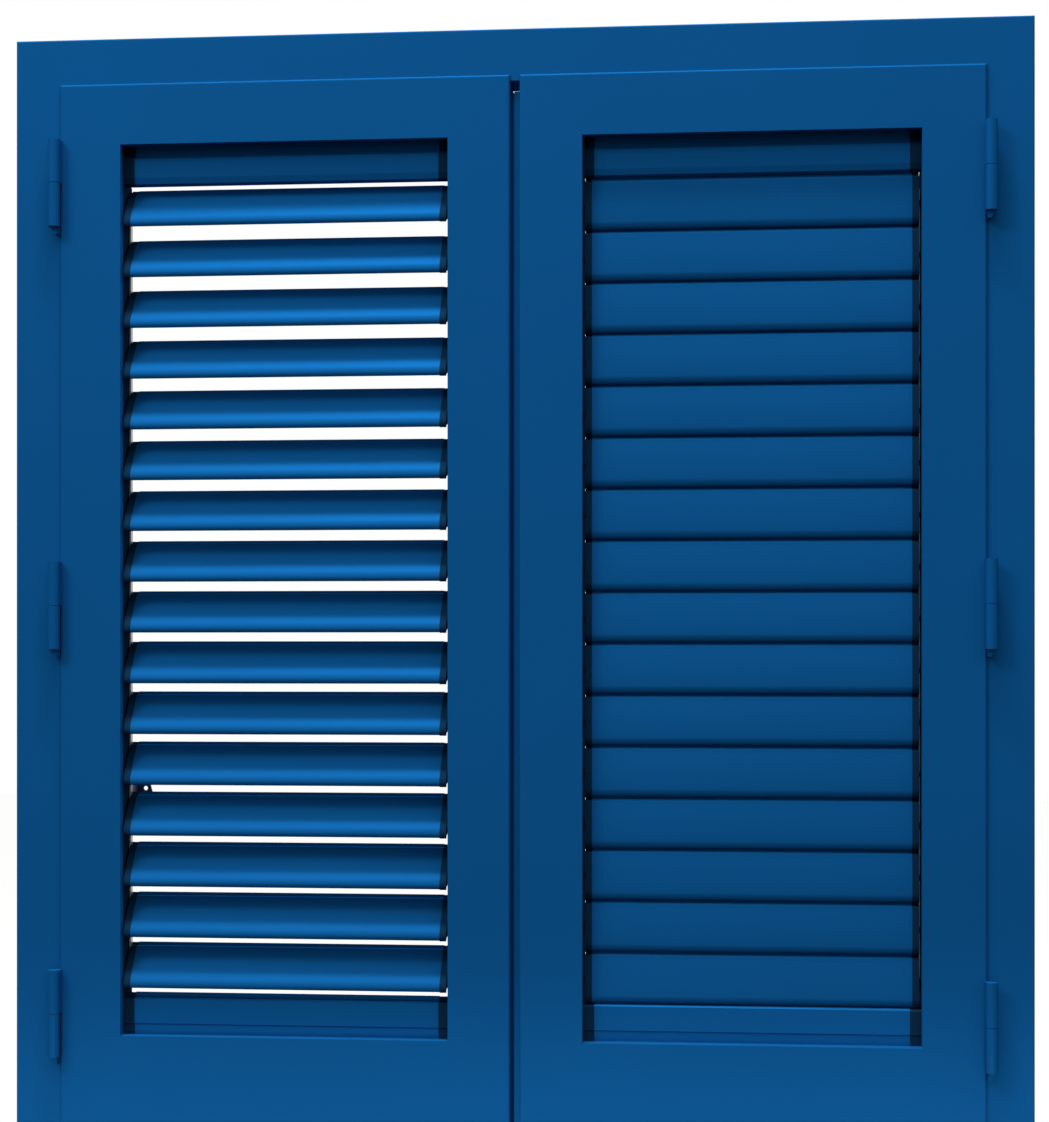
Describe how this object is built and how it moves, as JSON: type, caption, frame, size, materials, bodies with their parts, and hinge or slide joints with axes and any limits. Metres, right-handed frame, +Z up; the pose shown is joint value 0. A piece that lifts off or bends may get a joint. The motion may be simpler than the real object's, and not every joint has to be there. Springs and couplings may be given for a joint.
{
  "type": "louvred shutters",
  "caption": "Pair of hinged metal shutter leaves with tilting louvre slats in a fixed outer frame.",
  "frame": {"origin": "middle of the underside of the sill, at half the depth of the frame", "axes": "+Z up, -Y towards the outside, X across the pair of leaves"},
  "size_m": [1.11, 0.1119, 1.2695],
  "materials": {
    "blue_aluminium": "satin powder coat, deep blue",
    "hinge_paint": "satin powder coat on die-cast hinge barrels",
    "black_plastic": "moulded black plastic",
    "steel": "zinc-plated steel",
    "lever_plate": "anodised plate, grey-blue"
  },
  "bodies": {
    "root": {"frame_head": "blue_aluminium", "frame_sill": "blue_aluminium", "frame_jamb_left": "blue_aluminium", "frame_jamb_right": "blue_aluminium", "frame_hinge_pintles": "hinge_paint"},
    "left_leaf": {"left_stile_hinge": "blue_aluminium", "left_stile_meeting": "blue_aluminium", "left_rail_top": "blue_aluminium", "left_rail_bottom": "blue_aluminium", "left_hinge_knuckles": "hinge_paint", "left_fillers": "blue_aluminium", "left_bearings": "black_plastic", "lock_case": "black_plastic"},
    "left_slat_01": {"left_slat_01": "blue_aluminium"},
    "left_slat_02": {"left_slat_02": "blue_aluminium"},
    "left_slat_03": {"left_slat_03": "blue_aluminium"},
    "left_slat_04": {"left_slat_04": "blue_aluminium"},
    "left_slat_05": {"left_slat_05": "blue_aluminium"},
    "left_slat_06": {"left_slat_06": "blue_aluminium"},
    "left_slat_07": {"left_slat_07": "blue_aluminium"},
    "left_slat_08": {"left_slat_08": "blue_aluminium"},
    "left_slat_09": {"left_slat_09": "blue_aluminium"},
    "left_slat_10": {"left_slat_10": "blue_aluminium"},
    "left_slat_11": {"left_slat_11": "blue_aluminium"},
    "left_slat_12": {"left_slat_12": "blue_aluminium"},
    "left_slat_13": {"left_slat_13": "blue_aluminium"},
    "left_slat_14": {"left_slat_14": "blue_aluminium"},
    "left_slat_15": {"left_slat_15": "blue_aluminium"},
    "left_slat_16": {"left_slat_16": "blue_aluminium"},
    "left_control_rod": {"left_control_rod": "steel", "left_control_lever": "lever_plate"},
    "right_leaf": {"right_stile_hinge": "blue_aluminium", "right_stile_meeting": "blue_aluminium", "right_rail_top": "blue_aluminium", "right_rail_bottom": "blue_aluminium", "right_hinge_knuckles": "hinge_paint", "right_fillers": "blue_aluminium", "right_bearings": "black_plastic", "right_astragal": "blue_aluminium"},
    "right_slat_01": {"right_slat_01": "blue_aluminium"},
    "right_slat_02": {"right_slat_02": "blue_aluminium"},
    "right_slat_03": {"right_slat_03": "blue_aluminium"},
    "right_slat_04": {"right_slat_04": "blue_aluminium"},
    "right_slat_05": {"right_slat_05": "blue_aluminium"},
    "right_slat_06": {"right_slat_06": "blue_aluminium"},
    "right_slat_07": {"right_slat_07": "blue_aluminium"},
    "right_slat_08": {"right_slat_08": "blue_aluminium"},
    "right_slat_09": {"right_slat_09": "blue_aluminium"},
    "right_slat_10": {"right_slat_10": "blue_aluminium"},
    "right_slat_11": {"right_slat_11": "blue_aluminium"},
    "right_slat_12": {"right_slat_12": "blue_aluminium"},
    "right_slat_13": {"right_slat_13": "blue_aluminium"},
    "right_slat_14": {"right_slat_14": "blue_aluminium"},
    "right_slat_15": {"right_slat_15": "blue_aluminium"},
    "right_slat_16": {"right_slat_16": "blue_aluminium"},
    "right_control_rod": {"right_control_rod": "steel", "right_control_lever": "lever_plate"},
    "lock_handle": {"lock_handle": "black_plastic"},
    "lock_bolt_upper": {"lock_bolt_upper": "steel"},
    "lock_bolt_lower": {"lock_bolt_lower": "steel"}
  },
  "joints": [
    {"name": "left_leaf_swing", "type": "hinge", "parent": "root", "child": "left_leaf", "pos_m": [-0.5085, -0.0377, 0.63475], "axis": [0, 0, -1], "range_deg": [0, 180]},
    {"name": "left_slat_tilt_01", "type": "hinge", "parent": "left_leaf", "child": "left_slat_01", "pos_m": [-0.25488, 0.0013, 1.0775], "axis": [-1, 0, 0], "range_deg": [-38, 42]},
    {"name": "left_slat_tilt_02", "type": "hinge", "parent": "left_leaf", "child": "left_slat_02", "pos_m": [-0.25488, 0.0013, 1.0215], "axis": [-1, 0, 0], "range_deg": [-38, 42]},
    {"name": "left_slat_tilt_03", "type": "hinge", "parent": "left_leaf", "child": "left_slat_03", "pos_m": [-0.25488, 0.0013, 0.9655], "axis": [-1, 0, 0], "range_deg": [-38, 42]},
    {"name": "left_slat_tilt_04", "type": "hinge", "parent": "left_leaf", "child": "left_slat_04", "pos_m": [-0.25488, 0.0013, 0.9095], "axis": [-1, 0, 0], "range_deg": [-38, 42]},
    {"name": "left_slat_tilt_05", "type": "hinge", "parent": "left_leaf", "child": "left_slat_05", "pos_m": [-0.25488, 0.0013, 0.8535], "axis": [-1, 0, 0], "range_deg": [-38, 42]},
    {"name": "left_slat_tilt_06", "type": "hinge", "parent": "left_leaf", "child": "left_slat_06", "pos_m": [-0.25488, 0.0013, 0.7975], "axis": [-1, 0, 0], "range_deg": [-38, 42]},
    {"name": "left_slat_tilt_07", "type": "hinge", "parent": "left_leaf", "child": "left_slat_07", "pos_m": [-0.25488, 0.0013, 0.7415], "axis": [-1, 0, 0], "range_deg": [-38, 42]},
    {"name": "left_slat_tilt_08", "type": "hinge", "parent": "left_leaf", "child": "left_slat_08", "pos_m": [-0.25488, 0.0013, 0.6855], "axis": [-1, 0, 0], "range_deg": [-38, 42]},
    {"name": "left_slat_tilt_09", "type": "hinge", "parent": "left_leaf", "child": "left_slat_09", "pos_m": [-0.25488, 0.0013, 0.6295], "axis": [-1, 0, 0], "range_deg": [-38, 42]},
    {"name": "left_slat_tilt_10", "type": "hinge", "parent": "left_leaf", "child": "left_slat_10", "pos_m": [-0.25488, 0.0013, 0.5735], "axis": [-1, 0, 0], "range_deg": [-38, 42]},
    {"name": "left_slat_tilt_11", "type": "hinge", "parent": "left_leaf", "child": "left_slat_11", "pos_m": [-0.25488, 0.0013, 0.5175], "axis": [-1, 0, 0], "range_deg": [-38, 42]},
    {"name": "left_slat_tilt_12", "type": "hinge", "parent": "left_leaf", "child": "left_slat_12", "pos_m": [-0.25488, 0.0013, 0.4615], "axis": [-1, 0, 0], "range_deg": [-38, 42]},
    {"name": "left_slat_tilt_13", "type": "hinge", "parent": "left_leaf", "child": "left_slat_13", "pos_m": [-0.25488, 0.0013, 0.4055], "axis": [-1, 0, 0], "range_deg": [-38, 42]},
    {"name": "left_slat_tilt_14", "type": "hinge", "parent": "left_leaf", "child": "left_slat_14", "pos_m": [-0.25488, 0.0013, 0.3495], "axis": [-1, 0, 0], "range_deg": [-38, 42]},
    {"name": "left_slat_tilt_15", "type": "hinge", "parent": "left_leaf", "child": "left_slat_15", "pos_m": [-0.25488, 0.0013, 0.2935], "axis": [-1, 0, 0], "range_deg": [-38, 42]},
    {"name": "left_slat_tilt_16", "type": "hinge", "parent": "left_leaf", "child": "left_slat_16", "pos_m": [-0.25488, 0.0013, 0.2375], "axis": [-1, 0, 0], "range_deg": [-38, 42]},
    {"name": "left_rod_link", "type": "hinge", "parent": "left_slat_01", "child": "left_control_rod", "pos_m": [-0.4354, 0.01329, 1.07792], "axis": [-1, 0, 0], "range_deg": [-42, 38]},
    {"name": "right_leaf_swing", "type": "hinge", "parent": "root", "child": "right_leaf", "pos_m": [0.5085, -0.0377, 0.63475], "axis": [0, 0, 1], "range_deg": [0, 180]},
    {"name": "right_slat_tilt_01", "type": "hinge", "parent": "right_leaf", "child": "right_slat_01", "pos_m": [0.25488, 0.0013, 1.0775], "axis": [-1, 0, 0], "range_deg": [0, 80]},
    {"name": "right_slat_tilt_02", "type": "hinge", "parent": "right_leaf", "child": "right_slat_02", "pos_m": [0.25488, 0.0013, 1.0215], "axis": [-1, 0, 0], "range_deg": [0, 80]},
    {"name": "right_slat_tilt_03", "type": "hinge", "parent": "right_leaf", "child": "right_slat_03", "pos_m": [0.25488, 0.0013, 0.9655], "axis": [-1, 0, 0], "range_deg": [0, 80]},
    {"name": "right_slat_tilt_04", "type": "hinge", "parent": "right_leaf", "child": "right_slat_04", "pos_m": [0.25488, 0.0013, 0.9095], "axis": [-1, 0, 0], "range_deg": [0, 80]},
    {"name": "right_slat_tilt_05", "type": "hinge", "parent": "right_leaf", "child": "right_slat_05", "pos_m": [0.25488, 0.0013, 0.8535], "axis": [-1, 0, 0], "range_deg": [0, 80]},
    {"name": "right_slat_tilt_06", "type": "hinge", "parent": "right_leaf", "child": "right_slat_06", "pos_m": [0.25488, 0.0013, 0.7975], "axis": [-1, 0, 0], "range_deg": [0, 80]},
    {"name": "right_slat_tilt_07", "type": "hinge", "parent": "right_leaf", "child": "right_slat_07", "pos_m": [0.25488, 0.0013, 0.7415], "axis": [-1, 0, 0], "range_deg": [0, 80]},
    {"name": "right_slat_tilt_08", "type": "hinge", "parent": "right_leaf", "child": "right_slat_08", "pos_m": [0.25488, 0.0013, 0.6855], "axis": [-1, 0, 0], "range_deg": [0, 80]},
    {"name": "right_slat_tilt_09", "type": "hinge", "parent": "right_leaf", "child": "right_slat_09", "pos_m": [0.25488, 0.0013, 0.6295], "axis": [-1, 0, 0], "range_deg": [0, 80]},
    {"name": "right_slat_tilt_10", "type": "hinge", "parent": "right_leaf", "child": "right_slat_10", "pos_m": [0.25488, 0.0013, 0.5735], "axis": [-1, 0, 0], "range_deg": [0, 80]},
    {"name": "right_slat_tilt_11", "type": "hinge", "parent": "right_leaf", "child": "right_slat_11", "pos_m": [0.25488, 0.0013, 0.5175], "axis": [-1, 0, 0], "range_deg": [0, 80]},
    {"name": "right_slat_tilt_12", "type": "hinge", "parent": "right_leaf", "child": "right_slat_12", "pos_m": [0.25488, 0.0013, 0.4615], "axis": [-1, 0, 0], "range_deg": [0, 80]},
    {"name": "right_slat_tilt_13", "type": "hinge", "parent": "right_leaf", "child": "right_slat_13", "pos_m": [0.25488, 0.0013, 0.4055], "axis": [-1, 0, 0], "range_deg": [0, 80]},
    {"name": "right_slat_tilt_14", "type": "hinge", "parent": "right_leaf", "child": "right_slat_14", "pos_m": [0.25488, 0.0013, 0.3495], "axis": [-1, 0, 0], "range_deg": [0, 80]},
    {"name": "right_slat_tilt_15", "type": "hinge", "parent": "right_leaf", "child": "right_slat_15", "pos_m": [0.25488, 0.0013, 0.2935], "axis": [-1, 0, 0], "range_deg": [0, 80]},
    {"name": "right_slat_tilt_16", "type": "hinge", "parent": "right_leaf", "child": "right_slat_16", "pos_m": [0.25488, 0.0013, 0.2375], "axis": [-1, 0, 0], "range_deg": [0, 80]},
    {"name": "right_rod_link", "type": "hinge", "parent": "right_slat_01", "child": "right_control_rod", "pos_m": [0.4354, 0.01049, 1.08521], "axis": [-1, 0, 0], "range_deg": [-80, 0]},
    {"name": "lock_handle_turn", "type": "hinge", "parent": "left_leaf", "child": "lock_handle", "pos_m": [-0.03925, 0.0337, 0.6505], "axis": [0, 1, 0], "range_deg": [0, 90]},
    {"name": "lock_bolt_upper_slide", "type": "slide", "parent": "left_leaf", "child": "lock_bolt_upper", "axis": [0, 0, 1], "range_m": [0, 0.015]},
    {"name": "lock_bolt_lower_slide", "type": "slide", "parent": "left_leaf", "child": "lock_bolt_lower", "axis": [0, 0, -1], "range_m": [0, 0.015]}
  ],
  "couplings": [
    {"joint": "left_slat_tilt_02", "follows": "left_slat_tilt_01", "ratio": 1},
    {"joint": "left_slat_tilt_03", "follows": "left_slat_tilt_01", "ratio": 1},
    {"joint": "left_slat_tilt_04", "follows": "left_slat_tilt_01", "ratio": 1},
    {"joint": "left_slat_tilt_05", "follows": "left_slat_tilt_01", "ratio": 1},
    {"joint": "left_slat_tilt_06", "follows": "left_slat_tilt_01", "ratio": 1},
    {"joint": "left_slat_tilt_07", "follows": "left_slat_tilt_01", "ratio": 1},
    {"joint": "left_slat_tilt_08", "follows": "left_slat_tilt_01", "ratio": 1},
    {"joint": "left_slat_tilt_09", "follows": "left_slat_tilt_01", "ratio": 1},
    {"joint": "left_slat_tilt_10", "follows": "left_slat_tilt_01", "ratio": 1},
    {"joint": "left_slat_tilt_11", "follows": "left_slat_tilt_01", "ratio": 1},
    {"joint": "left_slat_tilt_12", "follows": "left_slat_tilt_01", "ratio": 1},
    {"joint": "left_slat_tilt_13", "follows": "left_slat_tilt_01", "ratio": 1},
    {"joint": "left_slat_tilt_14", "follows": "left_slat_tilt_01", "ratio": 1},
    {"joint": "left_slat_tilt_15", "follows": "left_slat_tilt_01", "ratio": 1},
    {"joint": "left_slat_tilt_16", "follows": "left_slat_tilt_01", "ratio": 1},
    {"joint": "left_rod_link", "follows": "left_slat_tilt_01", "ratio": -1},
    {"joint": "right_slat_tilt_02", "follows": "right_slat_tilt_01", "ratio": 1},
    {"joint": "right_slat_tilt_03", "follows": "right_slat_tilt_01", "ratio": 1},
    {"joint": "right_slat_tilt_04", "follows": "right_slat_tilt_01", "ratio": 1},
    {"joint": "right_slat_tilt_05", "follows": "right_slat_tilt_01", "ratio": 1},
    {"joint": "right_slat_tilt_06", "follows": "right_slat_tilt_01", "ratio": 1},
    {"joint": "right_slat_tilt_07", "follows": "right_slat_tilt_01", "ratio": 1},
    {"joint": "right_slat_tilt_08", "follows": "right_slat_tilt_01", "ratio": 1},
    {"joint": "right_slat_tilt_09", "follows": "right_slat_tilt_01", "ratio": 1},
    {"joint": "right_slat_tilt_10", "follows": "right_slat_tilt_01", "ratio": 1},
    {"joint": "right_slat_tilt_11", "follows": "right_slat_tilt_01", "ratio": 1},
    {"joint": "right_slat_tilt_12", "follows": "right_slat_tilt_01", "ratio": 1},
    {"joint": "right_slat_tilt_13", "follows": "right_slat_tilt_01", "ratio": 1},
    {"joint": "right_slat_tilt_14", "follows": "right_slat_tilt_01", "ratio": 1},
    {"joint": "right_slat_tilt_15", "follows": "right_slat_tilt_01", "ratio": 1},
    {"joint": "right_slat_tilt_16", "follows": "right_slat_tilt_01", "ratio": 1},
    {"joint": "right_rod_link", "follows": "right_slat_tilt_01", "ratio": -1},
    {"joint": "lock_bolt_upper_slide", "follows": "lock_handle_turn", "m_per_rad": 0.00954},
    {"joint": "lock_bolt_lower_slide", "follows": "lock_handle_turn", "m_per_rad": 0.00954}
  ]
}
